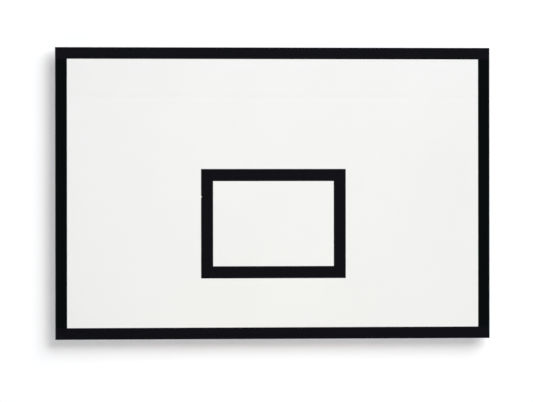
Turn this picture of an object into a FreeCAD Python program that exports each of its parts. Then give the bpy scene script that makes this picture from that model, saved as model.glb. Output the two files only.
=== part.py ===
import FreeCAD, Part
import math
import os

# A rectangular basketball backboard: a white laminated plywood panel with black line markings, screwed from
# behind to a welded and galvanised steel tube frame that carries the support lugs and the ring plate.
# Millimetres. +X is to the right of someone facing the board, +Y points away from them and +Z up.
# The origin is the middle of the four support slots, on the rear faces of the lugs.

# The panel and its layers
board_width = 1800.0
board_height = 1200.0
core_thickness = 18.0
face_thickness = 0.8
film_thickness = 0.2
band_thickness = 2.0
band_round_share = 0.6  # rounding of the band's outer edges, of its thickness

# The line markings
border_width = 48.0  # from the board's edge, with the edge band
line_width = 50.0  # of the target
target_width = 600.0
target_height = 450.0
ring_height = 300.0  # ring level above the board's lower edge; the target's base line ends there

# The tube frame; all its members have one depth, so that they lie flat between the panel and the lugs
frame_inset = 30.0  # from the board's edge to the frame
frame_depth = 40.0
tube_width = 40.0
tube_wall = 2.0
upright_width = 60.0
upright_wall = 3.0
tube_round_share = 2.0  # outer corner radius of a cold-formed tube, of its wall
vent_diameter = 10.0  # holes that let zinc and air through each closed tube
vent_offset = 30.0  # from the end of a tube's inner side to its vent

# The ring plate
ring_spacing_across = 110.0
ring_spacing_up = 90.0
ring_hole_diameter = 13.0
ring_drop = 80.0  # from ring level down to the middle of the ring's bolt holes
ring_plate_thickness = 8.0
ring_plate_edge = 45.0  # from the upper holes to the plate's upper edge

# The support lugs and their ribs
slot_spacing = 508.0
slot_margin = 155.5  # from the board's upper or lower edge to the slots
slot_width = 14.0
slot_length = 30.0
slot_reach = 27.0  # from the upright's side to the middle of the slot
lug_thickness = 6.0
lug_height = 70.0
lug_edge = 16.0  # from the slot's end to the lug's end
lug_corner = 8.0
lug_land = 6.0  # strip of the upright's rear face left bare for the weld
rib_thickness = 5.0
rib_margin = 4.0  # from the lug's upper or lower edge to the rib
rib_setback = 5.0  # from the lug's end to the rib
rib_toe = 6.0  # blunt end of the rib
rib_snipe = 8.0  # corner cut off where the upright and the lug meet
rib_gap = 10.0  # from the rib to the panel

# The cleats, screws and washers that hold the panel
cleat_leg = 30.0
cleat_thickness = 3.0
cleat_length = 40.0
cleat_root = 4.0
cleat_toe_share = 0.5  # rounding of the legs' ends, of the cleat's thickness
cleat_place_shares = (0.25, 0.75)  # of a long bay's width
screw_diameter = 6.0
screw_cover = 2.6  # wood left in front of each screw's tip
screw_tip = 4.0
head_width = 10.0  # across flats
head_height = 4.0
washer_diameter = 12.5
washer_thickness = 1.6

# Clearances
cleat_hole_clearance = 0.5
washer_clearance = 0.2
pilot_clearance = 0.05
pilot_extra_depth = 0.5
overrun = 5.0  # how far a cut runs past the face that it opens

# Planes and lines that the pieces share
Vector = FreeCAD.Vector
REARWARD = Vector(0, 1, 0)
tube_rear = -lug_thickness
panel_back = tube_rear - frame_depth
core_front = panel_back - core_thickness
face_front = core_front - face_thickness
film_front = face_front - film_thickness
tube_middle = (tube_rear + panel_back) / 2
core_right = board_width / 2 - band_thickness
core_top = board_height / 2 - band_thickness
ring_level = ring_height - board_height / 2
frame_right = board_width / 2 - frame_inset
frame_top = board_height / 2 - frame_inset
bay_right = frame_right - tube_width
bay_top = frame_top - tube_width
upright_outside = slot_spacing / 2 - slot_reach
upright_inside = upright_outside - upright_width
upright_centre = (upright_outside + upright_inside) / 2
slot_height = board_height / 2 - slot_margin
ring_holes_height = ring_level - ring_drop
ring_plate_top = ring_holes_height + ring_spacing_up / 2 + ring_plate_edge
ring_rail_height = ring_plate_top + tube_width / 2
rail_top = tube_width / 2
cleat_gauge = (cleat_thickness + cleat_root + cleat_leg) / 2


def block(left, right, front, rear, low, high):
    """A rectangular block between the given planes."""
    return Part.makeBox(right - left, rear - front, high - low, Vector(left, front, low))


def corner_arc(last, point, following, radius):
    """The start, middle and end of the arc that rounds a corner, or three times the corner for no radius."""
    to_last = (last - point).normalize()
    to_next = (following - point).normalize()
    half_angle = to_last.getAngle(to_next) / 2
    reach = radius / math.tan(half_angle)
    bulge = radius / math.sin(half_angle) - radius
    middle = point + (to_last + to_next).normalize() * bulge
    return point + to_last * reach, middle, point + to_next * reach


def profile(corners):
    """A flat face through corners, each a point and the radius of the arc that rounds it, or zero."""
    points = [point for point, radius in corners]
    arcs = []
    for place, (point, radius) in enumerate(corners):
        following = points[(place + 1) % len(points)]
        arcs.append(corner_arc(points[place - 1], point, following, radius))
    edges = []
    for place, (start, middle, end) in enumerate(arcs):
        edges.append(Part.makeLine(arcs[place - 1][-1], start))
        if corners[place][1] > 0:
            edges.append(Part.Arc(start, middle, end).toShape())
    return Part.Face(Part.Wire(edges))


def straight_profile(points):
    """A flat face through points, with sharp corners."""
    return profile([(point, 0) for point in points])


def rounded_rectangle(centre, side, width, depth, radius):
    """A flat face, width wide along side and depth deep towards the rear, with rounded corners."""
    across = side * (width / 2)
    back = REARWARD * (depth / 2)
    points = (centre - across - back, centre + across - back, centre + across + back, centre - across + back)
    return profile([(point, radius) for point in points])


def tube(start, end, width, wall):
    """A tube from start to end, with its width across the board and rounded corners."""
    run = end - start
    side = run.cross(REARWARD).normalize()
    outer_radius = wall * tube_round_share
    outside = rounded_rectangle(start, side, width, frame_depth, outer_radius)
    inside = rounded_rectangle(start, side, width - 2 * wall, frame_depth - 2 * wall, outer_radius - wall)
    return outside.cut(inside).extrude(run)


def vented(member, start, end):
    """The member with a vent through its rear wall near each of the two points, which lie on its axis."""
    step = (end - start).normalize() * vent_offset
    depth = frame_depth / 2 + overrun
    places = (start + step, end - step)
    return member.cut([Part.makeCylinder(vent_diameter / 2, depth, place, REARWARD) for place in places])


def straight_member(start, end, width, wall):
    """A vented tube with square ends."""
    return vented(tube(start, end, width, wall), start, end)


def upright(side):
    """One upright, from the lower frame tube to the upper one; side is -1 on the left and 1 on the right."""
    foot = Vector(side * upright_centre, tube_middle, -bay_top)
    head = Vector(side * upright_centre, tube_middle, bay_top)
    return straight_member(foot, head, upright_width, upright_wall)


def rail(left, right, height):
    """A level tube between two members."""
    start = Vector(left, tube_middle, height)
    end = Vector(right, tube_middle, height)
    return straight_member(start, end, tube_width, tube_wall)


def mitred_member(outer_start, outer_end, inner_start, inner_end):
    """A frame tube between two outer corners of the frame, cut along the lines to its inner corners."""
    toward_inside = (inner_start + inner_end - outer_start - outer_end).normalize()
    shift = toward_inside * (tube_width / 2)
    reach = REARWARD * (frame_depth / 2 + overrun)
    outline = [point - reach for point in (outer_start, outer_end, inner_end, inner_start)]
    between_mitres = straight_profile(outline).extrude(reach * 2)
    whole = tube(outer_start + shift, outer_end + shift, tube_width, tube_wall)
    return vented(whole.common(between_mitres), inner_start - shift, inner_end - shift)


def frame_tubes():
    """The four mitred tubes of the frame, by name."""
    signs = ((-1, 1), (1, 1), (1, -1), (-1, -1))
    outer = [Vector(across * frame_right, tube_middle, up * frame_top) for across, up in signs]
    inner = [Vector(across * bay_right, tube_middle, up * bay_top) for across, up in signs]
    tubes = {}
    for place, name in enumerate(("top", "right", "bottom", "left")):
        after = (place + 1) % len(signs)
        tubes[name + "_frame_tube"] = mitred_member(outer[place], outer[after], inner[place], inner[after])
    return tubes


def level_band(up):
    """The edge band along the upper or lower edge, as long as the board, with rounded outer edges."""
    radius = band_thickness * band_round_share
    left = -board_width / 2
    low = up * core_top
    high = up * board_height / 2
    corners = [
        (Vector(left, face_front, low), 0),
        (Vector(left, face_front, high), radius),
        (Vector(left, panel_back, high), radius),
        (Vector(left, panel_back, low), 0),
    ]
    return profile(corners).extrude(Vector(board_width, 0, 0))


def standing_band(side):
    """The edge band along the left or right edge, between the level bands, with rounded outer edges."""
    radius = band_thickness * band_round_share
    near = side * core_right
    far = side * board_width / 2
    corners = [
        (Vector(near, face_front, -core_top), 0),
        (Vector(far, face_front, -core_top), radius),
        (Vector(far, panel_back, -core_top), radius),
        (Vector(near, panel_back, -core_top), 0),
    ]
    return profile(corners).extrude(Vector(0, 0, 2 * core_top))


def line_rectangle(half_width, low, high, width):
    """Four strips of film round a rectangle: top and bottom strips, and the side strips between them."""
    front = film_front
    rear = face_front
    return {
        "top": block(-half_width, half_width, front, rear, high - width, high),
        "bottom": block(-half_width, half_width, front, rear, low, low + width),
        "left": block(-half_width, width - half_width, front, rear, low + width, high - width),
        "right": block(half_width - width, half_width, front, rear, low + width, high - width),
    }


def border_lines():
    """The strips along the panel's edges; the edge band is the outermost part of each line."""
    strips = line_rectangle(core_right, -core_top, core_top, border_width - band_thickness)
    return {name + "_border_line": strip for name, strip in strips.items()}


def target_lines():
    """The strips of the target rectangle, whose base line has its upper edge at ring level."""
    low = ring_level - line_width
    strips = line_rectangle(target_width / 2, low, low + target_height, line_width)
    names = {"top": "target_top_line", "bottom": "target_base_line"}
    names.update({"left": "target_left_line", "right": "target_right_line"})
    return {names[name]: strip for name, strip in strips.items()}


def ring_plate():
    """The plate with the ring's bolt holes, between the uprights, the lower frame tube and the ring rail."""
    plate_rear = panel_back + ring_plate_thickness
    plate = block(-upright_inside, upright_inside, panel_back, plate_rear, -bay_top, ring_plate_top)
    holes = []
    for across in (-1, 1):
        for up in (-1, 1):
            across_place = across * ring_spacing_across / 2
            up_place = ring_holes_height + up * ring_spacing_up / 2
            start = Vector(across_place, panel_back - overrun, up_place)
            length = ring_plate_thickness + 2 * overrun
            holes.append(Part.makeCylinder(ring_hole_diameter / 2, length, start, REARWARD))
    return plate.cut(holes)


def lug_end():
    """How far from the middle of the board a lug reaches."""
    return slot_spacing / 2 + slot_length / 2 + lug_edge


def lug(side, up):
    """A slotted plate across an upright's rear face; its ear stands out past the upright's outer side."""
    near = side * (upright_inside + lug_land)
    far = side * lug_end()
    middle = up * slot_height
    low = middle - lug_height / 2
    high = middle + lug_height / 2
    points = [Vector(x, tube_rear, z) for x, z in ((near, low), (far, low), (far, high), (near, high))]
    plate = profile([(point, lug_corner) for point in points]).extrude(REARWARD * lug_thickness)
    return plate.cut(slot(side * slot_spacing / 2, middle))


def slot(across, up):
    """The cutter for a level slot with round ends, centred on the given place."""
    radius = slot_width / 2
    half_straight = slot_length / 2 - radius
    front = tube_rear - overrun
    depth = overrun - front
    body = block(across - half_straight, across + half_straight, front, overrun, up - radius, up + radius)
    ends = [Vector(across + end * half_straight, front, up) for end in (-1, 1)]
    return body.fuse([Part.makeCylinder(radius, depth, end, REARWARD) for end in ends]).removeSplitter()


def rib(side, height):
    """A rib in the corner between an upright's outer side and a lug's ear, with its lower face at height."""
    length = lug_end() - rib_setback - upright_outside
    depth = frame_depth - rib_gap
    outline = (
        (rib_snipe, 0),
        (length, 0),
        (length, rib_toe),
        (rib_toe, depth),
        (0, depth),
        (0, rib_snipe),
    )
    points = [Vector(side * (upright_outside + out), tube_rear - ahead, height) for out, ahead in outline]
    return straight_profile(points).extrude(Vector(0, 0, rib_thickness))


def lug_ribs():
    """Two ribs to each lug, near its upper and lower edges, which leave the slot free for a bolt's head."""
    offset = lug_height / 2 - rib_margin - rib_thickness
    ribs = []
    for side in (-1, 1):
        for up in (-1, 1):
            ribs.append(rib(side, up * slot_height + offset))
            ribs.append(rib(side, up * slot_height - offset - rib_thickness))
    return ribs


def cleat_places():
    """Each cleat's place on a tube's face, across and up, and the turn that points it off the tube."""
    upward, rightward, downward, leftward = 0, 90, 180, 270
    half_bay = (rail_top + bay_top) / 2
    bay_width = bay_right - upright_outside
    places = [(0, bay_top, downward), (0, rail_top, upward)]
    for side, outward, inward in ((-1, leftward, rightward), (1, rightward, leftward)):
        for share in cleat_place_shares:
            across = side * (upright_outside + share * bay_width)
            places.append((across, bay_top, downward))
            places.append((across, -bay_top, upward))
        for up in (-1, 1):
            places.append((side * bay_right, up * half_bay, inward))
            places.append((side * upright_outside, up * half_bay, outward))
        places.append((side * (upright_outside + bay_width / 2), rail_top, upward))
    return places


def at_each_cleat(shape):
    """Copies of a shape made at the origin, pointing up, one at each cleat's place."""
    copies = []
    for across, up, turn in cleat_places():
        copy = shape.copy()
        copy.rotate(Vector(0, 0, 0), REARWARD, turn)
        copy.translate(Vector(across, panel_back, up))
        copies.append(copy)
    return copies


def cleat():
    """A short piece of steel angle: one leg lies on the panel and has the screw's hole, one on the tube."""
    toe = cleat_thickness * cleat_toe_share
    left = -cleat_length / 2
    corners = [
        (Vector(left, 0, 0), 0),
        (Vector(left, 0, cleat_leg), 0),
        (Vector(left, cleat_thickness, cleat_leg), toe),
        (Vector(left, cleat_thickness, cleat_thickness), cleat_root),
        (Vector(left, cleat_leg, cleat_thickness), toe),
        (Vector(left, cleat_leg, 0), 0),
    ]
    bar = profile(corners).extrude(Vector(cleat_length, 0, 0))
    radius = screw_diameter / 2 + cleat_hole_clearance
    start = Vector(0, -overrun, cleat_gauge)
    hole = Part.makeCylinder(radius, cleat_thickness + 2 * overrun, start, REARWARD)
    return bar.cut(hole)


def washer():
    """A flat washer on a cleat's panel leg."""
    seat = Vector(0, cleat_thickness, cleat_gauge)
    disc = Part.makeCylinder(washer_diameter / 2, washer_thickness, seat, REARWARD)
    bore = Part.makeCylinder(screw_diameter / 2 + washer_clearance, washer_thickness, seat, REARWARD)
    return disc.cut(bore)


def screw():
    """A hexagon-head wood screw through a washer and a cleat into the core, with a pointed tip."""
    seat = cleat_thickness + washer_thickness
    bite = core_thickness - screw_cover
    radius = screw_diameter / 2
    corner = head_width / math.sqrt(3)
    turns = [math.radians(60 * place) for place in range(6)]
    points = [Vector(corner * math.cos(turn), seat, cleat_gauge + corner * math.sin(turn)) for turn in turns]
    head = straight_profile(points).extrude(REARWARD * head_height)
    shank_end = Vector(0, screw_tip - bite, cleat_gauge)
    shank = Part.makeCylinder(radius, seat - shank_end.y, shank_end, REARWARD)
    tip = Part.makeCone(radius, 0, screw_tip, shank_end, -REARWARD)
    return head.fuse([shank, tip]).removeSplitter()


def pilot_hole():
    """The cutter for a screw's hole in the core."""
    depth = core_thickness - screw_cover + pilot_extra_depth
    start = Vector(0, -depth, cleat_gauge)
    return Part.makeCylinder(screw_diameter / 2 + pilot_clearance, depth + overrun, start, REARWARD)


def core_panel():
    """The plywood, with a pilot hole for each screw."""
    board = block(-core_right, core_right, core_front, panel_back, -core_top, core_top)
    return board.cut(at_each_cleat(pilot_hole()))


def all_nodes():
    """Every node's shape, by name; pieces that repeat are a group of separate solids."""
    nodes = {
        "core_panel": core_panel(),
        "face_sheet": block(-core_right, core_right, face_front, core_front, -core_top, core_top),
        "top_edge_band": level_band(1),
        "bottom_edge_band": level_band(-1),
        "left_edge_band": standing_band(-1),
        "right_edge_band": standing_band(1),
        "left_upright": upright(-1),
        "right_upright": upright(1),
        "upper_tie": rail(-upright_inside, upright_inside, slot_height),
        "middle_tie": rail(-upright_inside, upright_inside, 0),
        "ring_rail": rail(-upright_inside, upright_inside, ring_rail_height),
        "left_side_rail": rail(-bay_right, -upright_outside, 0),
        "right_side_rail": rail(upright_outside, bay_right, 0),
        "ring_plate": ring_plate(),
        "upper_left_lug": lug(-1, 1),
        "upper_right_lug": lug(1, 1),
        "lower_left_lug": lug(-1, -1),
        "lower_right_lug": lug(1, -1),
        "lug_ribs": Part.makeCompound(lug_ribs()),
        "panel_cleats": Part.makeCompound(at_each_cleat(cleat())),
        "screw_washers": Part.makeCompound(at_each_cleat(washer())),
        "panel_screws": Part.makeCompound(at_each_cleat(screw())),
    }
    nodes.update(border_lines())
    nodes.update(target_lines())
    nodes.update(frame_tubes())
    return nodes


os.makedirs("parts", exist_ok=True)
for node_name, node_shape in all_nodes().items():
    node_shape.exportStep("parts/" + node_name + ".step")
    print(node_name, len(node_shape.Solids), "solids", "valid" if node_shape.isValid() else "not valid")
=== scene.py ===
"""Looks of a rectangular basketball backboard: its finishes, welds, screws and a plain studio, in metres.

+X is to the right of someone facing the board, +Y points from the playing face to the support and +Z up.
"""

import logging
import math
from dataclasses import dataclass
from enum import Enum
from functools import cached_property
from typing import Iterator, Sequence

import bmesh
import bpy
import numpy as np
from mathutils import Matrix, Vector


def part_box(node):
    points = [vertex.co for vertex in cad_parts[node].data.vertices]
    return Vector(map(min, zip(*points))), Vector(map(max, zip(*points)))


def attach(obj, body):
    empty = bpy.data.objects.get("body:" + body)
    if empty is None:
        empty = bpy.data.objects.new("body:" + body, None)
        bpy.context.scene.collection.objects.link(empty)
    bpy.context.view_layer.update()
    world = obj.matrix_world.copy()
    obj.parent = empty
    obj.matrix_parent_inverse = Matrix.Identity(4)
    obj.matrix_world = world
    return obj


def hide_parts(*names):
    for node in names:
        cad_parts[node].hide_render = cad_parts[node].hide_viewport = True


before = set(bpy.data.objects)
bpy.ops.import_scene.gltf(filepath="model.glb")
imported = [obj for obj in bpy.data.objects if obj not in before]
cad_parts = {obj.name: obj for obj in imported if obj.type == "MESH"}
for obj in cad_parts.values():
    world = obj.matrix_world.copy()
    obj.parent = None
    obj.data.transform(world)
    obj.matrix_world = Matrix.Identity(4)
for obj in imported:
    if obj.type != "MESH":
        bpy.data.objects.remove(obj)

Span = tuple[float, float]
Triple = tuple[float, float, float]
Colour = Triple
Socket = bpy.types.NodeSocket
Material = bpy.types.Material
Array = np.ndarray
Feed = float | Triple | Socket
Options = dict[str, str]

log = logging.getLogger("backboard")

AXES = np.eye(3)
REARWARD = AXES[1]
SIDES = (-1, 1)
LEVEL_EDGES = ("top", "bottom")
SIDE_EDGES = ("left", "right")
BODY = "root"
WHITE: Colour = (1.0, 1.0, 1.0)
RISING: Span = (0.0, 1.0)
FALLING: Span = (1.0, 0.0)
BULK: Span = (0.3, 0.7)  # holds nearly all values of soft noise


@dataclass(frozen=True)
class Box:
    """The lowest and highest corner of a node."""

    low: Array
    high: Array

    @staticmethod
    def of(node: str) -> "Box":
        """The box of a node of the frame at rest."""
        low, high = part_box(node)
        return Box(np.array(low), np.array(high))

    def end(self, side: int) -> Array:
        """The lowest corner for side -1, the highest for 1."""
        return self.high if side > 0 else self.low


@dataclass(frozen=True)
class Mottle:
    """Soft noise: the size of its marks along X, Y and Z, its finer layers, and the span of values in use."""

    size: Triple
    layers: float = 2.0
    span: Span = BULK

    @staticmethod
    def even(size: float, layers: float = 2.0, span: Span = BULK) -> "Mottle":
        """Soft noise with marks of one size all ways."""
        return Mottle((size, size, size), layers, span)


class ShaderGraph:
    """One node tree; each method adds nodes and gives back the socket to read from them."""

    def __init__(self, owner: Material | bpy.types.World) -> None:
        """Starts with an empty tree.

        Args:
            owner: the material or world that the tree is for.
        """
        owner.use_nodes = True
        self.owner = owner
        self.tree = owner.node_tree
        self.tree.nodes.clear()

    @staticmethod
    def named(name: str) -> "ShaderGraph":
        """The empty tree of a new material."""
        return ShaderGraph(bpy.data.materials.new(name))

    @cached_property
    def place(self) -> Socket:
        """A place in the object's own coordinates."""
        return self.add("ShaderNodeTexCoord", output="Object")

    def feed(self, socket: Socket, value: Feed) -> None:
        """Links a socket, or sets its constant.

        Args:
            socket: the input to feed.
            value: a socket to link, or a number, colour or vector to set.
        """
        if isinstance(value, bpy.types.NodeSocket):
            self.tree.links.new(value, socket)
        elif socket.type == "RGBA":
            socket.default_value = (*value, 1.0)
        else:
            socket.default_value = value

    def add(
        self, kind: str, *values: Feed, options: Options | None = None, output: str = "", **inputs: Feed
    ) -> Socket | None:
        """Adds a node.

        Args:
            kind: its type.
            values: what goes into its inputs, in their order.
            options: its options by name.
            output: which output to give back, or else its first.
            inputs: what goes into its inputs by name, with _ for a space.

        Returns:
            The output, if the node has one.
        """
        node = self.tree.nodes.new(kind)
        for name, option in (options or {}).items():
            setattr(node, name, option)
        in_use = [socket for socket in node.inputs if socket.enabled]
        for socket, value in zip(in_use, values):
            self.feed(socket, value)
        for name, value in inputs.items():
            self.feed(node.inputs[name.replace("_", " ")], value)
        return node.outputs[output] if output else next((way for way in node.outputs if way.enabled), None)

    def math(self, operation: str, *numbers: Feed) -> Socket:
        """A sum on one or two numbers."""
        return self.add("ShaderNodeMath", *numbers, options={"operation": operation})

    def vector_math(self, operation: str, *vectors: Feed) -> Socket:
        """A sum on two vectors, or the distance between two places."""
        return self.add("ShaderNodeVectorMath", *vectors, options={"operation": operation})

    def stretch(self, scale: Triple, place: Socket | None = None) -> Socket:
        """A place, or the object's own coordinates, scaled axis by axis."""
        return self.add("ShaderNodeMapping", Vector=place or self.place, Scale=scale)

    def noise(self, mottle: Mottle, place: Socket | None = None, output: str = "Fac") -> Socket:
        """Soft noise, 0 to 1, before a span of it is picked out; its Color is three that differ."""
        scaled = self.stretch(tuple(1 / size for size in mottle.size), place)
        return self.add("ShaderNodeTexNoise", output=output, Vector=scaled, Scale=1.0, Detail=mottle.layers)

    def cells(self, size: float, place: Socket, output: str) -> Socket:
        """Voronoi cells: the random Color of each, or the Distance to its middle as a share of the size."""
        return self.add("ShaderNodeTexVoronoi", output=output, Vector=place, Scale=1 / size)

    def spread(self, value: Socket, source: Span, target: Span = RISING) -> Socket:
        """Takes one range of a value to another, smoothly and held at both ends."""
        options = {"interpolation_type": "SMOOTHSTEP"}
        return self.add("ShaderNodeMapRange", value, *source, *target, options=options)

    def mottled(self, mottle: Mottle, target: Span = RISING, place: Socket | None = None) -> Socket:
        """Soft noise with its span in use taken to a target range."""
        return self.spread(self.noise(mottle, place), mottle.span, target)

    def channel(self, colour: Socket, name: str) -> Socket:
        """Red, Green or Blue of a colour, which are X, Y and Z of a place."""
        return self.add("ShaderNodeSeparateColor", colour, output=name)

    def off(self, name: str, middle: float) -> Socket:
        """How far a place is from a middle along X, Y or Z, named as for a channel."""
        return self.math("ABSOLUTE", self.math("SUBTRACT", self.channel(self.place, name), middle))

    def mix(self, share: Feed, first: Feed, second: Feed) -> Socket:
        """Mixes two colours by the share of the second, 0 to 1."""
        return self.add("ShaderNodeMix", share, first, second, options={"data_type": "RGBA"})

    def bump(self, height: Socket, depth: float) -> Socket:
        """A normal raised by a height, which the depth turns into metres."""
        return self.add("ShaderNodeBump", Strength=1.0, Distance=depth, Height=height)

    def seen(self) -> Socket:
        """Tells the rays that show a background from those that only light something.

        Returns:
            1 for a ray from the camera, from gloss or through glass, else 0.
        """
        rays = ("Camera", "Glossy", "Transmission")
        camera, gloss, glass = (self.add("ShaderNodeLightPath", output=f"Is {ray} Ray") for ray in rays)
        return self.math("MAXIMUM", self.math("MAXIMUM", camera, gloss), glass)

    def close(self, **inputs: Feed) -> Material:
        """Ends a material's tree in one shader, with its inputs by name."""
        self.add("ShaderNodeOutputMaterial", Surface=self.add("ShaderNodeBsdfPrincipled", **inputs))
        return self.owner


@dataclass(frozen=True)
class WhiteLaminate:
    """Satin white laminate: faint clouds of tone, a very fine pebbled grain and one shallow dip along X."""

    slot: str = "white_laminate"
    colour: Colour = (0.888, 0.894, 0.880)
    clouded: Colour = (0.874, 0.880, 0.864)
    clouds: Mottle = Mottle.even(0.45, 3.0, (0.35, 0.75))
    sheen: Mottle = Mottle.even(0.225, 4.0)
    roughness: Span = (0.40, 0.47)
    specular: float = 0.4
    pebbles: Mottle = Mottle.even(0.0011, 1.0)
    pebble_depth: float = 0.000012
    dip_level: float = 0.393
    dip_half_width: float = 0.018
    dip_depth: float = 0.0004

    def relief(self, graph: ShaderGraph) -> Socket:
        """How high the face stands: pebbles of soft noise, and a dip that eases out to both sides.

        Args:
            graph: its node tree.

        Returns:
            The height in metres.
        """
        pebbles = graph.math("MULTIPLY", graph.noise(self.pebbles), self.pebble_depth)
        off_dip = graph.off("Blue", self.dip_level)
        dip = graph.spread(off_dip, (0.0, self.dip_half_width), (-self.dip_depth, 0.0))
        return graph.math("ADD", pebbles, dip)

    def material(self) -> Material:
        """Mixes the two whites by the clouds and raises the relief.

        Returns:
            The material.
        """
        graph = ShaderGraph.named(self.slot)
        return graph.close(
            Base_Color=graph.mix(graph.mottled(self.clouds), self.colour, self.clouded),
            Roughness=graph.mottled(self.sheen, self.roughness),
            Specular_IOR_Level=self.specular,
            Normal=graph.bump(self.relief(graph), 1.0),
        )


@dataclass(frozen=True)
class BlackFilm:
    """Satin black adhesive film, with one small nick in the target's left line that shows the white below."""

    name: str = "black_film"
    colour: Colour = (0.0016, 0.0017, 0.0033)
    worn: Colour = (0.0030, 0.0031, 0.0052)
    bared: Colour = (0.80, 0.80, 0.79)
    streaks: Mottle = Mottle.even(0.25, 5.0)
    worn_span: Span = (0.4, 0.75)
    roughness: Span = (0.46, 0.58)
    specular: float = 0.035
    grain: Mottle = Mottle.even(0.0008)
    grain_depth: float = 0.000010
    nick_place: Triple = (-0.3005, -0.065, -0.0145)
    nick_size: float = 0.0057
    nick_fade: float = 0.0007
    nick_edge: Mottle = Mottle.even(0.00285, 3.0)

    def nick(self, graph: ShaderGraph) -> Socket:
        """The nick: a disc whose radius is its size times soft noise.

        Args:
            graph: its node tree.

        Returns:
            1 within the nick, 0 outside.
        """
        reach = graph.vector_math("DISTANCE", graph.place, self.nick_place)
        radius = graph.math("MULTIPLY", graph.noise(self.nick_edge), self.nick_size)
        return graph.spread(graph.math("SUBTRACT", reach, radius), (0.0, self.nick_fade), FALLING)

    def material(self) -> Material:
        """Mixes fresh and worn black by the streaks and bares the nick.

        Returns:
            The material.
        """
        graph = ShaderGraph.named(self.name)
        streaks = graph.noise(self.streaks)
        black = graph.mix(graph.spread(streaks, self.worn_span), self.colour, self.worn)
        return graph.close(
            Base_Color=graph.mix(self.nick(graph), black, self.bared),
            Roughness=graph.spread(streaks, self.streaks.span, self.roughness),
            Specular_IOR_Level=self.specular,
            Normal=graph.bump(graph.noise(self.grain), self.grain_depth),
        )


@dataclass(frozen=True)
class BlackEdging:
    """Satin black edge band with faint drag marks, scuffed in places along its two arrises."""

    slot: str = "black_edging"
    colour: Colour = (0.0060, 0.0062, 0.0070)
    rubbed: Colour = (0.0130, 0.0132, 0.0140)
    scuffed: Colour = (0.0420, 0.0425, 0.0440)
    marks: Mottle = Mottle.even(0.06, 6.0)
    rubbed_span: Span = (0.5, 0.8)
    scuffed_span: Span = (0.48, 0.66)
    scuff_most: float = 0.8
    arris_width: float = 0.0012
    roughness: Span = (0.34, 0.48)
    specular: float = 0.22
    grain: Mottle = Mottle.even(0.0012)
    grain_depth: float = 0.00003

    def material(self) -> Material:
        """Mixes black and rubbed black by the marks, and scuffs them where a mark meets an arris.

        Returns:
            The material.
        """
        graph = ShaderGraph.named(self.slot)
        marks = graph.noise(self.marks)
        black = graph.mix(graph.spread(marks, self.rubbed_span), self.colour, self.rubbed)
        band = Box.of("top_edge_band")
        middle = (band.low[1] + band.high[1]) / 2
        half = (band.high[1] - band.low[1]) / 2
        arris = graph.spread(graph.off("Green", middle), (half - self.arris_width, half))
        worn = graph.spread(marks, self.scuffed_span, (0.0, self.scuff_most))
        return graph.close(
            Base_Color=graph.mix(graph.math("MULTIPLY", arris, worn), black, self.scuffed),
            Roughness=graph.spread(marks, self.marks.span, self.roughness),
            Specular_IOR_Level=self.specular,
            Normal=graph.bump(graph.noise(self.grain), self.grain_depth),
        )


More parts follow.
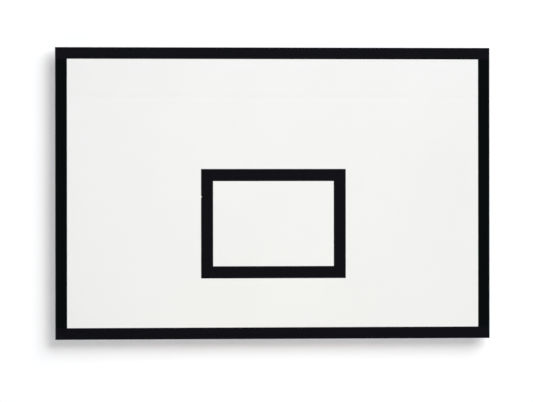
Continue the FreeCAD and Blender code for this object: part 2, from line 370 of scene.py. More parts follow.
@dataclass(frozen=True)
class BirchPlywood:
    """Varnished rotary-cut birch: flowing figure, fibres and flecks along X, pin knots and boat patches."""

    slot: str = "birch_plywood"
    light: Colour = (0.705, 0.535, 0.345)
    dark: Colour = (0.550, 0.385, 0.220)
    fleck: Colour = (0.330, 0.200, 0.100)
    knot: Colour = (0.120, 0.062, 0.030)
    figure_pitch: float = 0.085
    figure_warp: float = 5.5
    figure_bend: Mottle = Mottle((1.11, 1.0, 0.385), 3.0)
    fibres: Mottle = Mottle((0.111, 0.025, 0.00238), 5.0, (0.3, 0.75))
    flecks: Mottle = Mottle((0.0143, 0.025, 0.00091), 2.0, (0.64, 0.74))
    broad: Mottle = Mottle((1.25, 1.0, 0.2), 3.0)
    figure_share: float = 0.38
    fibre_share: float = 0.34
    broad_share: float = 0.22
    fleck_share: float = 0.55
    fibre_depth: float = 0.00006
    knot_spacing: float = 0.34
    knot_stretch: Triple = (1.0, 0.0, 1.6)
    knot_radius: float = 0.0035
    knot_share: float = 0.85
    knot_halo_share: float = 0.35
    knot_halo_reach: float = 6.0
    patch_half_length: float = 0.036
    patch_half_height: float = 0.013
    patch_tone: float = 0.75
    patch_seam: float = 0.0008
    patch_seam_share: float = 0.75
    patch_places: tuple[Span, ...] = (
        (-0.585, 0.335), (0.410, 0.262), (0.690, -0.365), (-0.452, -0.210), (0.068, 0.205))
    roughness: Span = (0.36, 0.5)
    specular: float = 0.45
    varnish: float = 0.22
    varnish_roughness: float = 0.24

    def outside_patches(self, graph: ShaderGraph) -> Socket:
        """How far a place lies outside the nearest patch; a patch is the lens that two equal discs share.

        Args:
            graph: its node tree.

        Returns:
            The distance, less than zero within a patch.
        """
        flat = graph.stretch((1.0, 0.0, 1.0))
        radius = (self.patch_half_length**2 + self.patch_half_height**2) / (2 * self.patch_half_height)
        rise = radius - self.patch_half_height
        nearest: Feed = 1.0
        for across, up in self.patch_places:
            upper = graph.vector_math("DISTANCE", flat, (across, 0.0, up + rise))
            lower = graph.vector_math("DISTANCE", flat, (across, 0.0, up - rise))
            outside = graph.math("SUBTRACT", graph.math("MAXIMUM", upper, lower), radius)
            nearest = graph.math("MINIMUM", outside, nearest)
        return nearest

    def figure(self, graph: ShaderGraph) -> Socket:
        """Contour lines of the veneer: a sine across the grain, bent by broad noise.

        Args:
            graph: its node tree.

        Returns:
            The figure, 0 to 1.
        """
        bend = graph.math("MULTIPLY", graph.noise(self.figure_bend), self.figure_warp)
        across = graph.math("DIVIDE", graph.channel(graph.place, "Blue"), self.figure_pitch)
        wave = graph.math("SINE", graph.math("MULTIPLY", graph.math("ADD", bend, across), 2 * math.pi))
        return graph.spread(wave, (-1.0, 1.0))

    def tone(self, graph: ShaderGraph, outside: Socket) -> Socket:
        """How dark the wood is: the shares of figure, fibres and broad bands, turned over within a patch.

        Args:
            graph: its node tree.
            outside: how far a place lies outside the nearest patch.

        Returns:
            The tone, about 0 to 1.
        """
        tone = graph.math("MULTIPLY", self.figure(graph), self.figure_share)
        for mottle, share in ((self.fibres, self.fibre_share), (self.broad, self.broad_share)):
            tone = graph.math("ADD", tone, graph.math("MULTIPLY", graph.mottled(mottle), share))
        inside = graph.spread(outside, (-self.patch_seam, 0.0), FALLING)
        turned = graph.math("SUBTRACT", graph.math("SUBTRACT", self.patch_tone, tone), tone)
        return graph.math("ADD", tone, graph.math("MULTIPLY", inside, turned))

    def knotted(self, graph: ShaderGraph, wood: Socket) -> Socket:
        """Adds pin knots: a dark core at the middle of each cell, in a paler halo.

        Args:
            graph: its node tree.
            wood: the colour without them.

        Returns:
            The colour with them.
        """
        reach = graph.cells(self.knot_spacing, graph.stretch(self.knot_stretch), "Distance")
        core = self.knot_radius / self.knot_spacing
        middle = graph.spread(reach, (core / 2, core * 3 / 2), (self.knot_share, 0.0))
        halo = graph.spread(reach, (core, core * self.knot_halo_reach), (self.knot_halo_share, 0.0))
        return graph.mix(halo, graph.mix(middle, wood, self.knot), self.fleck)

    def material(self) -> Material:
        """Mixes light and dark wood by the tone, then adds flecks, knots and the seams of the patches.

        Returns:
            The material.
        """
        graph = ShaderGraph.named(self.slot)
        outside = self.outside_patches(graph)
        wood = graph.mix(self.tone(graph, outside), self.light, self.dark)
        wood = graph.mix(graph.mottled(self.flecks, (0.0, self.fleck_share)), wood, self.fleck)
        wood = self.knotted(graph, wood)
        seam_edges = (self.patch_seam / 2, self.patch_seam * 3 / 2)
        seam = graph.spread(graph.math("ABSOLUTE", outside), seam_edges, (self.patch_seam_share, 0.0))
        fibres = graph.noise(self.fibres)
        return graph.close(
            Base_Color=graph.mix(seam, wood, self.knot),
            Roughness=graph.spread(fibres, BULK, self.roughness),
            Specular_IOR_Level=self.specular,
            Coat_Weight=self.varnish,
            Coat_Roughness=self.varnish_roughness,
            Normal=graph.bump(fibres, self.fibre_depth),
        )


@dataclass(frozen=True)
class GalvanisedSteel:
    """Hot-dip zinc: crystals of differing grey and gloss with feathered edges, dulled in soft clouds."""

    slot: str = "galvanised_steel"
    name: str = "galvanised_steel"
    bright: Colour = (0.450, 0.462, 0.474)
    dim: Colour = (0.372, 0.384, 0.395)
    bloom: Colour = (0.415, 0.423, 0.430)
    frosted: Colour = (0.480, 0.490, 0.500)
    crystal_size: float = 0.011
    crystal_relief: float = 0.3
    feathers: Mottle = Mottle.even(0.0040, 3.0)
    feather_reach: float = 0.0045
    frost: Mottle = Mottle.even(0.0016, 2.0, (0.45, 0.7))
    frost_share: float = 0.4
    clouds: Mottle = Mottle.even(0.16, 5.0, (0.38, 0.72))
    cloud_share: float = 0.75
    cloud_roughness: float = 0.12
    clouded_metal: float = 0.8
    ripples: Mottle = Mottle.even(0.0055)
    ripple_depth: float = 0.00008
    roughness: Span = (0.34, 0.46)

    def material(self) -> Material:
        """Shades cells whose places are shaken by noise, frosts them and lays the dull clouds over them.

        Returns:
            The material.
        """
        graph = ShaderGraph.named(self.name)
        shake = graph.stretch((self.feather_reach,) * 3, graph.noise(self.feathers, output="Color"))
        feathered = graph.vector_math("ADD", graph.place, shake)
        crystals = graph.cells(self.crystal_size, feathered, "Color")
        shade = graph.channel(crystals, "Red")
        zinc = graph.mix(graph.spread(shade, RISING), self.dim, self.bright)
        zinc = graph.mix(graph.mottled(self.frost, (0.0, self.frost_share), feathered), zinc, self.frosted)
        clouds = graph.mottled(self.clouds, (0.0, self.cloud_share))
        gloss = graph.spread(graph.channel(crystals, "Green"), RISING, self.roughness)
        steps = graph.math("MULTIPLY", shade, self.crystal_relief)
        return graph.close(
            Base_Color=graph.mix(clouds, zinc, self.bloom),
            Metallic=graph.spread(clouds, RISING, (1.0, self.clouded_metal)),
            Roughness=graph.math("ADD", gloss, graph.math("MULTIPLY", clouds, self.cloud_roughness)),
            Normal=graph.bump(graph.math("ADD", graph.noise(self.ripples), steps), self.ripple_depth),
        )


@dataclass(frozen=True)
class ZincPlate:
    """Bright zinc plating with a faint warm and cool play of colour."""

    slot: str = "zinc_plated_steel"
    cool: Colour = (0.40, 0.42, 0.45)
    warm: Colour = (0.47, 0.45, 0.40)
    play: Mottle = Mottle.even(0.012, 3.0)
    roughness: Span = (0.24, 0.38)

    def material(self) -> Material:
        """Mixes the cool and the warm grey by soft noise.

        Returns:
            The material.
        """
        graph = ShaderGraph.named(self.slot)
        return graph.close(
            Base_Color=graph.mix(graph.mottled(self.play), self.cool, self.warm),
            Metallic=1.0,
            Roughness=graph.mottled(self.play, self.roughness),
        )


@dataclass(frozen=True)
class StudioWhite:
    """A matt pale sheet that the camera sees brighter than it is lit, more so far off; clear from behind.

    In the hollow behind the board, where light comes back warm from the wood, the glow is painted light: a
    brighter, cool fill laid on the board's shadow.
    """

    name: str
    colour: Colour
    near_lift: float
    far_lift: float = 1.0
    fade: Span = (1.6, 4.5)
    hollow_painted_fill_tint: Colour = (1.24, 1.42, 1.69)
    hollow_fade: Span = (0.016, 0.030)

    def material(self) -> Material:
        """A matt surface plus a glow for the camera and for gloss, clear on its rear side.

        The hollow is found from how far a place lies past the board's nearest edge.

        Returns:
            The material.
        """
        graph = ShaderGraph.named(self.name)
        reach = graph.vector_math("DISTANCE", graph.place, (0.0, 0.0, 0.0))
        lift = graph.spread(reach, self.fade, (self.near_lift, self.far_lift))
        edge = Box.of("core_panel").high
        past_side = graph.math("SUBTRACT", graph.off("Red", 0.0), edge[0])
        past_end = graph.math("SUBTRACT", graph.off("Blue", 0.0), edge[2])
        # Painted light: a cool fill glow on the sheet a few centimetres past the board's outline, where its
        # shadow falls.
        hollow = graph.spread(graph.math("MAXIMUM", past_side, past_end), self.hollow_fade, FALLING)
        glow_tint_with_painted_fill = graph.mix(hollow, WHITE, self.hollow_painted_fill_tint)
        glow = graph.add("ShaderNodeEmission", glow_tint_with_painted_fill, graph.math("MULTIPLY", graph.seen(), lift))
        matt = graph.add("ShaderNodeBsdfDiffuse", Color=self.colour)
        lit = graph.add("ShaderNodeAddShader", matt, glow)
        behind = graph.add("ShaderNodeNewGeometry", output="Backfacing")
        clear = graph.add("ShaderNodeBsdfTransparent")
        graph.add("ShaderNodeOutputMaterial", Surface=graph.add("ShaderNodeMixShader", behind, lit, clear))
        return graph.owner


class Surface:
    """Collects grids of points and turns them into one mesh object."""

    def __init__(self) -> None:
        """Starts with no grid."""
        self.points: list[Array] = []
        self.faces: list[list[int]] = []
        self.count = 0

    def grid(self, points: Array, ring: bool = True, loop: bool = False, capped: bool = True) -> None:
        """Adds a grid of points as quads.

        Args:
            points: rows by columns by 3.
            ring: whether the last column joins the first.
            loop: whether the last row joins the first.
            capped: whether the first and last rows are closed by a face.
        """
        rows, columns = points.shape[:2]
        index = np.arange(rows * columns).reshape(rows, columns) + self.count
        wide = np.concatenate([index, index[:, :1]], axis=1) if ring else index
        tall = np.concatenate([wide, wide[:1]]) if loop else wide
        quads = np.stack([tall[:-1, :-1], tall[:-1, 1:], tall[1:, 1:], tall[1:, :-1]], axis=-1)
        self.faces.extend(quads.reshape(-1, 4).tolist())
        if capped and not loop:
            self.faces.extend([index[0, ::-1].tolist(), index[-1].tolist()])
        self.points.append(points.reshape(-1, 3))
        self.count += rows * columns

    def thing(self, name: str, material: Material) -> bpy.types.Object:
        """Makes the mesh object, with its faces as they were given.

        Args:
            name: the object's name.
            material: its finish.

        Returns:
            The object, at the origin.
        """
        mesh = bpy.data.meshes.new(name)
        mesh.from_pydata(np.concatenate(self.points).tolist(), [], self.faces)
        mesh.shade_smooth()
        mesh.materials.append(material)
        thing = bpy.data.objects.new(name, mesh)
        bpy.context.scene.collection.objects.link(thing)
        return thing

    def solid(self, name: str, material: Material, smooth_angle: float = 40.0) -> bpy.types.Object:
        """Makes the mesh object of closed shells, with its faces turned outwards and its sharp edges kept.

        Args:
            name: the object's name.
            material: its finish.
            smooth_angle: faces that meet at less than this many degrees shade as one.

        Returns:
            The object, at the origin.
        """
        thing = self.thing(name, material)
        shell = bmesh.new()
        shell.from_mesh(thing.data)
        bmesh.ops.recalc_face_normals(shell, faces=shell.faces)
        shell.to_mesh(thing.data)
        shell.free()
        thing.data.set_sharp_from_angle(angle=math.radians(smooth_angle))
        return thing


def place_piece(thing: bpy.types.Object, slot: str, *replaced: str) -> None:
    """Lets a new piece ride on the board.

    Args:
        thing: the piece.
        slot: not used.
        replaced: the nodes that it stands for.
    """
    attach(thing, BODY)
    if replaced:
        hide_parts(*replaced)
    log.info("piece %s: %d faces", thing.name, len(thing.data.polygons))


def dress(node: str, material: Material) -> None:
    """Gives a node of the frame its finish.

    Args:
        node: the node's name.
        material: the finish.
    """
    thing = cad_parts[node]
    thing.data.materials.clear()
    thing.data.materials.append(material)
    log.info("node %s: %s", node, material.name)


@dataclass
class Panel:
    """The plywood core, its white face, its edge bands and the line markings."""

    face: WhiteLaminate = WhiteLaminate()
    film: BlackFilm = BlackFilm()
    # Painted shade: the side lines are the same film as the rest, made darker and less glossy so that they
    # look less lit.
    side_film_painted_shade: BlackFilm = BlackFilm(
        name="black_film_painted_shade_sides", colour=(0.0017, 0.0026, 0.0029), worn=(0.0023, 0.0032, 0.0036),
        specular=0.012)
    edging: BlackEdging = BlackEdging()
    wood: BirchPlywood = BirchPlywood()
    target_sides: tuple[str, ...] = ("top", "base", *SIDE_EDGES)

    def dress(self) -> None:
        """Puts a finish on every node of the panel."""
        dress("core_panel", self.wood.material())
        dress("face_sheet", self.face.material())
        black = self.film.material()
        edging = self.edging.material()
        for edges, film in ((LEVEL_EDGES, black), (SIDE_EDGES, self.side_film_painted_shade.material())):
            for edge in edges:
                dress(f"{edge}_edge_band", edging)
                dress(f"{edge}_border_line", film)
        for side in self.target_sides:
            dress(f"target_{side}_line", black)


class BeadShape(Enum):
    """How a weld sits: in the corner between two faces, or as a low crown over a flush seam."""

    FILLET = "fillet"
    CROWN = "crown"


@dataclass(frozen=True)
class WeldRun:
    """One straight weld: its ends, and the two directions in which its section spreads from the seam."""

    start: Array
    end: Array
    first: Array
    second: Array
    shape: BeadShape = BeadShape.FILLET
    scale: float = 1.0

    @staticmethod
    def along(
        corner: Array, way: Array, span: Span, first: Array, second: Array,
        shape: BeadShape = BeadShape.FILLET, scale: float = 1.0,
    ) -> "WeldRun":
        """The run that covers a span of the line that goes one way from a corner."""
        return WeldRun(corner + way * span[0], corner + way * span[1], first, second, shape, scale)


@dataclass
class Welds:
    """Rippled weld beads, cut back at both ends, on the seams of the frame."""

    finish: GalvanisedSteel = GalvanisedSteel(
        name="galvanised_welds", dim=(0.29, 0.30, 0.31), bright=(0.40, 0.412, 0.424), crystal_size=0.006,
        ripples=Mottle.even(0.003), ripple_depth=0.00016, roughness=(0.36, 0.56))
    leg: float = 0.0042
    bulge: float = 0.40
    crown_half_width: float = 0.0040
    crown_height: float = 0.0013
    ripple_pitch: float = 0.0032
    ripple_share: float = 0.16
    crown_ripple_share: float = 0.45
    ripple_lag: float = 0.45
    ripple_mean: float = 0.6
    wander_share: float = 0.10
    wander_length: float = 0.021
    wander_phases: float = 3.0
    end_length: float = 0.004
    least_end: float = 0.06
    sink: float = 0.0003
    step: float = 0.0009
    least_rows: int = 8
    across: int = 7
    smooth_angle: float = 60.0
    seed: int = 11

    def bead(self, run: WeldRun, phase: float) -> Array:
        """The points of one bead.

        Along the run the section swells and shrinks by a slow sine and by the scallops of |sin|, whose
        crests lag in the middle of the section. A fillet's section lies between a straight slope and a
        quarter circle; a crown's is half an ellipse. Both shrink to a blunt point over the end length.

        Args:
            run: where the weld lies.
            phase: shifts the ripples, so that no two beads are alike.

        Returns:
            Rows along the run by columns round the section by 3.
        """
        reach = run.end - run.start
        length = float(np.linalg.norm(reach))
        rows = max(int(length / self.step), self.least_rows)
        along = np.linspace(0.0, length, rows)[:, None]
        turn = np.linspace(0.0, 1.0, self.across)[None, :]
        from_end = np.minimum(along, length - along)
        taper = np.sqrt(np.clip(1 - (1 - np.minimum(from_end / self.end_length, 1.0)) ** 2, 0.0, 1.0))
        taper = np.maximum(taper, self.least_end)
        lag = self.ripple_lag * (1 - (2 * turn - 1) ** 2)
        scallop = np.abs(np.sin(np.pi * (along / self.ripple_pitch + lag + phase))) - self.ripple_mean
        wander = along / self.wander_length + self.wander_phases * phase
        swell = 1 + self.wander_share * np.sin(2 * np.pi * wander)
        fillet = run.shape is BeadShape.FILLET
        share = self.ripple_share if fillet else self.crown_ripple_share
        size = run.scale * taper * swell * (1 + share * scallop)
        if fillet:
            angle = turn * np.pi / 2
            straight = 1 / (np.cos(angle) + np.sin(angle))
            radius = self.leg * size * (straight + self.bulge * (1 - straight))
            out_first = np.concatenate([radius * np.cos(angle), np.zeros((rows, 1))], axis=1)
            out_second = np.concatenate([radius * np.sin(angle), np.zeros((rows, 1))], axis=1)
            sunk = self.sink * (run.first + run.second)
        else:
            angle = turn * np.pi
            out_first = -self.crown_half_width * taper * swell * np.cos(angle)
            out_second = self.crown_height * size * np.sin(angle)
            sunk = self.sink * run.second
        line = run.start + along * (reach / length) - sunk
        return line[:, None, :] + out_first[..., None] * run.first + out_second[..., None] * run.second

    def piece(self, name: str, runs: Sequence[WeldRun], zinc: Material) -> None:
        """Makes one piece of all the beads on the given runs.

        Args:
            name: the piece's name.
            runs: where the welds lie.
            zinc: their finish.
        """
        phases = np.random.default_rng(self.seed).random(len(runs))
        surface = Surface()
        for run, phase in zip(runs, phases):
            surface.grid(self.bead(run, float(phase)))
        place_piece(surface.solid(name, zinc, self.smooth_angle), self.finish.slot)


@dataclass(frozen=True)
class CleatPlace:
    """Where a cleat sits: the middle of its edge on panel and tube, and the ways off and along the tube."""

    seat: Array
    out: Array
    along: Array


@dataclass
class Cleats:
    """The angle cleats on the tubes, to which the panel is screwed."""

    leg: float = 0.030
    thickness: float = 0.003
    root: float = 0.004
    length: float = 0.040
    bay_shares: tuple[float, ...] = (0.25, 0.75)

    def gauge(self) -> float:
        """How far from the tube the screw goes through a cleat: the middle of its leg's flat."""
        return (self.thickness + self.root + self.leg) / 2

    def places(self) -> list[CleatPlace]:
        """Works out every cleat's place from the frame: evenly along each bay of the panel.

        Returns:
            One place to a cleat.
        """
        bay_top = Box.of("top_frame_tube").low[2]
        bay_right = Box.of("right_frame_tube").low[0]
        outside = Box.of("right_upright").high[0]
        rail_top = Box.of("middle_tie").high[2]
        back = Box.of("core_panel").high[1]
        half_bay = (rail_top + bay_top) / 2
        spots = [(0.0, bay_top, -AXES[2]), (0.0, rail_top, AXES[2])]
        for side in SIDES:
            for share in self.bay_shares:
                across = side * (outside + share * (bay_right - outside))
                spots.extend([(across, bay_top, -AXES[2]), (across, -bay_top, AXES[2])])
            for up in SIDES:
                spots.append((side * bay_right, up * half_bay, -side * AXES[0]))
                spots.append((side * outside, up * half_bay, side * AXES[0]))
            spots.append((side * (outside + bay_right) / 2, rail_top, AXES[2]))
        return [CleatPlace(np.array([x, back, z]), out, np.cross(REARWARD, out)) for x, z, out in spots]


@dataclass
class SupportFrame:
    """The welded tube frame with its ring plate, lugs, ribs and cleats."""

    finish: GalvanisedSteel = GalvanisedSteel()
    tube_round: float = 0.004
    upright_round: float = 0.006
    stitch: float = 0.042
    stitch_pitch: float = 0.092
    lug_corner: float = 0.008
    rib_margin: float = 0.004
    rib_snipe: float = 0.008
    rib_depth: float = 0.030
    rib_weld_setback: float = 0.007
    rib_weld_share: float = 0.75
    cleat_weld_share: float = 0.62
    uprights: tuple[str, ...] = ("left_upright", "right_upright")
    rails: tuple[str, ...] = ("upper_tie", "middle_tie", "ring_rail", "left_side_rail", "right_side_rail")
    lugs: tuple[str, ...] = ("upper_left_lug", "upper_right_lug", "lower_left_lug", "lower_right_lug")

    def dress(self) -> None:
        """Puts the zinc finish on every node of the frame."""
        zinc = self.finish.material()
        for edge in (*LEVEL_EDGES, *SIDE_EDGES):
            dress(f"{edge}_frame_tube", zinc)
        for node in (*self.uprights, *self.rails, *self.lugs, "ring_plate", "lug_ribs", "panel_cleats"):
            dress(node, zinc)

    def butt_runs(self, node: str, axis: int, rounding: float) -> Iterator[WeldRun]:
        """The welds at both ends of a member that butts against others.

        Args:
            node: the member.
            axis: the axis that it runs along, 0 or 2.
            rounding: the radius of its corners, where the welds stop.

        Returns:
            A crown across the rear seam and a fillet down each side, at each end.
        """
        box = Box.of(node)
        cross = 2 - axis
        spread = AXES[cross]
        width, depth = ((box.low[way] + rounding, box.high[way] - rounding) for way in (cross, 1))
        for end in SIDES:
            seam = AXES[axis] * box.end(end)[axis]
            rear = seam + REARWARD * box.high[1]
            yield WeldRun.along(rear, spread, width, AXES[axis], REARWARD, BeadShape.CROWN)
            for side in SIDES:
                corner = seam + spread * box.end(side)[cross]
                yield WeldRun.along(corner, REARWARD, depth, spread * side, AXES[axis] * -end)

    def mitre_runs(self) -> Iterator[WeldRun]:
        """The welds at the frame's four corners.

        Returns:
            A crown along each mitre and a fillet in each inner corner.
        """
        top, left = Box.of("top_frame_tube"), Box.of("left_frame_tube")
        outer_x, outer_z, rear = top.high[0], top.high[2], top.high[1]
        inner_x, inner_z = -left.high[0], top.low[2]
        inset = self.tube_round / 2
        depth = (top.low[1] + inset, rear - inset)
        for across in SIDES:
            for up in SIDES:
                inner = np.array([across * (inner_x + inset), rear, up * (inner_z + inset)])
                outer = np.array([across * (outer_x - inset), rear, up * (outer_z - inset)])
                over = np.array([across, 0.0, -up]) / math.sqrt(2)
                yield WeldRun(inner, outer, over, REARWARD, BeadShape.CROWN)
                corner = np.array([across * inner_x, 0.0, up * inner_z])
                yield WeldRun.along(corner, REARWARD, depth, AXES[0] * -across, AXES[2] * -up)

    def plate_runs(self) -> Iterator[WeldRun]:
        """Short fillets evenly spaced along the four edges of the ring plate's rear face.

        Returns:
            One run to a stitch.
        """
        box = Box.of("ring_plate")
        half = self.stitch / 2
        for axis in (2, 0):
            cross = 2 - axis
            length = box.high[cross] - box.low[cross]
            count = int(length / self.stitch_pitch)
            middles = box.low[cross] + (np.arange(count) + 0.5) * length / count
            for side in SIDES:
                edge = REARWARD * box.high[1] + AXES[axis] * box.end(side)[axis]
                for middle in middles:
                    span = (middle - half, middle + half)
                    yield WeldRun.along(edge, AXES[cross], span, AXES[axis] * -side, REARWARD)

    def lug_seats(self) -> Iterator[tuple[Box, int, float]]:
        """Finds what each lug sits on.

        Returns:
            Its box, the side that it is on, and the outside of the upright that it lies on.
        """
        for node in self.lugs:
            lug = Box.of(node)
            side = 1 if lug.high[0] > 0 else -1
            yield lug, side, Box.of(self.uprights[side > 0]).end(side)[0]

    def lug_runs(self) -> Iterator[WeldRun]:
        """Fillets along the three edges of each lug that lie on its upright.

        Returns:
            Three runs to a lug.
        """
        for lug, side, root in self.lug_seats():
            near = lug.end(-side)[0]
            width = (near + side * self.lug_corner, root - side * self.upright_round)
            height = (lug.low[2] + self.lug_corner, lug.high[2] - self.lug_corner)
            for up in SIDES:
                edge = np.array([0.0, lug.low[1], lug.end(up)[2]])
                yield WeldRun.along(edge, AXES[0], width, AXES[2] * up, REARWARD)
            edge = np.array([near, lug.low[1], 0.0])
            yield WeldRun.along(edge, AXES[2], height, AXES[0] * -side, REARWARD)

    def rib_runs(self) -> Iterator[WeldRun]:
        """Small fillets on the outer face of each rib, along the lug's ear and down the upright's side.

        Returns:
            Two runs to a rib.
        """
        scale = self.rib_weld_share
        depth = (self.rib_snipe, self.rib_depth)
        for lug, side, root in self.lug_seats():
            width = (self.rib_snipe, side * (lug.end(side)[0] - root) - self.rib_weld_setback)
            for up in SIDES:
                corner = np.array([root, lug.low[1], lug.end(up)[2] - up * self.rib_margin])
                yield WeldRun.along(corner, AXES[0] * side, width, AXES[2] * up, -REARWARD, scale=scale)
                yield WeldRun.along(corner, -REARWARD, depth, AXES[2] * up, AXES[0] * side, scale=scale)

    def cleat_runs(self, cleats: Cleats) -> Iterator[WeldRun]:
        """A small fillet at each end of the leg of every cleat that lies on a tube.

        Args:
            cleats: the cleats' sizes and places.

        Returns:
            Two runs to a cleat.
        """
        scale = self.cleat_weld_share
        inset = cleats.leg * (1 - scale) / 2
        depth = (inset, cleats.leg - inset)
        for place in cleats.places():
            for end in SIDES:
                corner = place.seat + place.along * (end * cleats.length / 2)
                yield WeldRun.along(corner, REARWARD, depth, place.along * end, place.out, scale=scale)

    def build(self, cleats: Cleats) -> None:
        """Makes the weld beads of the frame, the ring plate, the lugs and their ribs, and the cleats.

        Args:
            cleats: the cleats' sizes and places.
        """
        welds = Welds()
        zinc = welds.finish.material()
        seams = list(self.mitre_runs())
        for node in self.uprights:
            seams.extend(self.butt_runs(node, 2, self.upright_round))
        for node in self.rails:
            seams.extend(self.butt_runs(node, 0, self.tube_round))
        welds.piece("frame_welds", seams, zinc)
        welds.piece("ring_plate_welds", list(self.plate_runs()), zinc)
        welds.piece("lug_welds", [*self.lug_runs(), *self.rib_runs()], zinc)
        welds.piece("cleat_welds", list(self.cleat_runs(cleats)), zinc)


@dataclass
class Fixings:
    """The hexagon-head wood screws and washers that hold the panel to the frame's cleats."""

    finish: ZincPlate = ZincPlate()
    head_width: float = 0.010
    head_height: float = 0.004
    head_flats: int = 6
    chamfer_share: float = 0.94
    chamfer_slope: float = 0.58
    dish_share: float = 0.6
    dish_depth: float = 0.0003
    shank_radius: float = 0.003
    thread_depth: float = 0.0007
    thread_pitch: float = 0.0026
    bite: float = 0.0154
    tip: float = 0.004
    tip_share: float = 0.03
    washer_radius: float = 0.00625
    washer_bore: float = 0.0032
    washer_thickness: float = 0.0016
    washer_round: float = 0.0003
    turns: int = 36
    shank_rows: int = 40
    corner_points: int = 4

    def angles(self) -> Array:
        """The angles of a turned form's points, one row of turns."""
        return np.linspace(0.0, 2 * np.pi, self.turns, endpoint=False)[None, :]

    def turned(self, radius: Array | float, height: Array | float) -> Array:
        """Rows by turns of points: circles of a radius at a height, about an axis that points rearwards."""
        radius, height, angle = np.broadcast_arrays(radius, height, self.angles())
        return np.stack([radius * np.cos(angle), height, radius * np.sin(angle)], axis=-1)

    def screw(self, grip: float) -> Array:
        """The points of one screw, with the underside of its head at the origin.

        The shank is a cylinder with a helical groove, a cosine of height over pitch less the turn, and runs
        out to a point. The head is a hexagon, half its width over the cosine of the turn from the middle of
        a flat; a cone cuts its rear edge, so each flat ends in an arc, and its end dips slightly.

        Args:
            grip: the thickness of what lies between the head and the panel.

        Returns:
            Rows from the tip to the head's end by turns by 3.
        """
        angle = self.angles()
        reach = self.bite + grip
        height = np.linspace(-reach, 0.0, self.shank_rows)[:, None]
        taper = np.clip((height + reach) / self.tip, self.tip_share, 1.0)
        groove = (1 - np.cos(2 * np.pi * height / self.thread_pitch - angle)) / 2
        threaded = np.clip(-height / self.tip - 1, 0.0, 1.0)
        shank = taper * (self.shank_radius - self.thread_depth * groove * threaded)
        half = self.head_width / 2
        sector = 2 * np.pi / self.head_flats
        flat = half / np.cos(np.mod(angle, sector) - sector / 2)
        rim = half * self.chamfer_share
        rows = [
            self.turned(shank, height),
            self.turned(flat, 0.0),
            self.turned(flat, self.head_height - (flat - rim) * self.chamfer_slope),
            self.turned(rim, self.head_height),
            self.turned(rim * self.dish_share, self.head_height - self.dish_depth),
        ]
        return np.concatenate(rows)

    def washer(self) -> Array:
        """The points of one washer, seated at the origin: a round-cornered section turned about its axis.

        Returns:
            Rows round the section by turns by 3.
        """
        quarter = np.linspace(0.0, np.pi / 2, self.corner_points)
        turn = np.concatenate([quarter + side * np.pi / 2 for side in range(4)])
        middle = (self.washer_radius + self.washer_bore) / 2
        half_width = (self.washer_radius - self.washer_bore) / 2 - self.washer_round
        half_height = self.washer_thickness / 2 - self.washer_round
        corner = np.repeat(np.array([[1, 1], [-1, 1], [-1, -1], [1, -1]]), self.corner_points, axis=0)
        radius = middle + corner[:, 0] * half_width + self.washer_round * np.cos(turn)
        height = self.washer_thickness / 2 + corner[:, 1] * half_height + self.washer_round * np.sin(turn)
        return self.turned(radius[:, None], height[:, None])

    def build(self, cleats: Cleats) -> None:
        """Makes the screws and washers at every cleat, in place of the plain ones.

        Args:
            cleats: the cleats' sizes and places.
        """
        plate = self.finish.material()
        washer = self.washer()
        screw = self.screw(cleats.thickness + self.washer_thickness) + REARWARD * self.washer_thickness
        screws, washers = Surface(), Surface()
        for place in cleats.places():
            seat = place.seat + place.out * cleats.gauge() + REARWARD * cleats.thickness
            washers.grid(washer + seat, loop=True)
            screws.grid(screw + seat)
        place_piece(screws.solid("hexagon_screws", plate), self.finish.slot, "panel_screws")
        place_piece(washers.solid("flat_washers", plate), self.finish.slot, "screw_washers")


@dataclass(frozen=True)
class Lamp:
    """A square soft light: where it hangs, its width, its power, its colour and where it points."""

    name: str
    place: Triple
    width: float
    power: float
    colour: Colour = WHITE
    aim: Triple = (0.0, 0.0, 0.0)

    def hang(self) -> None:
        """Makes the light."""
        light = bpy.data.lights.new(self.name, "AREA")
        light.shape = "SQUARE"
        light.size = self.width
        light.energy = self.power
        light.color = self.colour
        thing = bpy.data.objects.new(self.name, light)
        thing.visible_camera = False
        thing.location = self.place
        thing.rotation_euler = (Vector(self.aim) - Vector(self.place)).to_track_quat("-Z", "Y").to_euler()
        bpy.context.scene.collection.objects.link(thing)


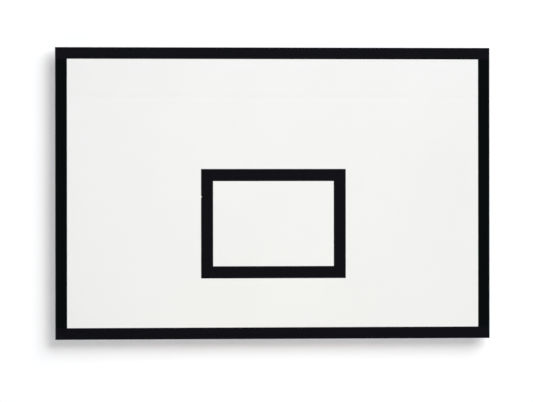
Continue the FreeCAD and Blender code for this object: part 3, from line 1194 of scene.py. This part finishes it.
@dataclass
class Studio:
    """A pale floor, a white sheet behind the board, soft lamps, a plain world and the camera."""

    lamps: tuple[Lamp, ...] = (
        Lamp("key", (12.2, -19.9, 15.6), 22.0, 6860.0, (0.985, 0.99, 1.0)),
        Lamp("left_fill", (-0.6, -3.0, 0.9), 1.6, 8.5, (0.93, 0.98, 1.0), (-0.36, 0.0, 0.54)),
        Lamp("right_fill", (0.6, -3.0, 0.9), 1.6, 8.5, (0.93, 0.98, 1.0), (0.36, 0.0, 0.54)),
        Lamp("low_fill", (0.05, -2.0, -0.9), 1.0, 4.6, (1.0, 0.74, 0.54), (0.0, 0.0, -0.3)),
        Lamp("rear_key", (-5.5, 9.0, 10.5), 8.0, 1400.0),
        Lamp("rear_fill", (4.5, 5.0, 5.0), 3.0, 175.0, (0.98, 0.99, 1.0)),
    )
    ambient: Colour = (0.97, 0.985, 1.0)
    ambient_strength: float = 0.125
    sheet_white: StudioWhite = StudioWhite("studio_sheet", (0.975, 0.985, 1.0), 0.122)
    sheet_gap: float = 0.0006
    sheet_half_width: float = 7.0
    sheet_height: float = 5.0
    floor_white: StudioWhite = StudioWhite("studio_floor", (0.47, 0.47, 0.47), 0.50)
    floor_level: float = -1.05
    floor_half_width: float = 9.0
    lens: float = 350.0
    camera_place: Triple = (-2.540, -21.243, 0.047)
    camera_yaw: float = 6.7616
    camera_pitch: float = -0.212
    camera_roll: float = -0.052

    def sheet(self) -> None:
        """Hangs the white sheet just behind the lugs, down to the floor; only the camera sees it."""
        edge = np.array([self.sheet_half_width, -self.sheet_half_width])
        across, up = np.meshgrid(edge, np.array([self.sheet_height, self.floor_level]))
        points = np.stack([across, np.full_like(across, self.sheet_gap), up], axis=-1)
        thing = self.stage_sheet("sheet", points, self.sheet_white)
        for rays in ("diffuse", "glossy", "transmission", "shadow"):
            setattr(thing, f"visible_{rays}", False)

    def floor(self) -> None:
        """Lays the pale floor."""
        edge = np.array([-self.floor_half_width, self.floor_half_width])
        across, along = np.meshgrid(edge, edge)
        points = np.stack([across, along, np.full_like(across, self.floor_level)], axis=-1)
        self.stage_sheet("floor", points, self.floor_white)

    def stage_sheet(self, name: str, points: Array, white: StudioWhite) -> bpy.types.Object:
        """Makes a stage sheet from a grid of points.

        Args:
            name: its name.
            points: rows by columns by 3.
            white: its finish.

        Returns:
            The sheet's object.
        """
        surface = Surface()
        surface.grid(points, ring=False, capped=False)
        thing = surface.thing(name, white.material())
        return thing

    def world(self) -> None:
        """Sets a plain world: soft light for the board, white where the camera or a gloss looks past it."""
        world = bpy.data.worlds.new("studio_world")
        bpy.context.scene.world = world
        graph = ShaderGraph(world)
        soft = graph.add("ShaderNodeBackground", self.ambient, self.ambient_strength)
        white = graph.add("ShaderNodeBackground", WHITE)
        graph.add("ShaderNodeOutputWorld", graph.add("ShaderNodeMixShader", graph.seen(), soft, white))

    def camera(self) -> None:
        """Sets up the camera where the photograph was taken from."""
        lens = bpy.data.cameras.new("camera")
        lens.lens = self.lens
        thing = bpy.data.objects.new("camera", lens)
        level = Matrix.Rotation(math.radians(90.0 + self.camera_pitch), 4, "X")
        yaw = Matrix.Rotation(math.radians(-self.camera_yaw), 4, "Z")
        roll = Matrix.Rotation(math.radians(self.camera_roll), 4, "Z")
        thing.matrix_world = Matrix.Translation(self.camera_place) @ yaw @ level @ roll
        bpy.context.scene.collection.objects.link(thing)
        bpy.context.scene.camera = thing

    def build(self) -> None:
        """Sets up the whole studio."""
        bpy.context.scene.view_settings.view_transform = "Standard"
        self.world()
        self.sheet()
        self.floor()
        for lamp in self.lamps:
            lamp.hang()
        self.camera()


def main() -> None:
    """Dresses the board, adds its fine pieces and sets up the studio."""
    logging.basicConfig(level=logging.INFO, format="%(name)s: %(message)s")
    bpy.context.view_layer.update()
    Panel().dress()
    cleats = Cleats()
    support = SupportFrame()
    support.dress()
    support.build(cleats)
    Fixings().build(cleats)
    Studio().build()


if __name__ == "__main__":
    main()
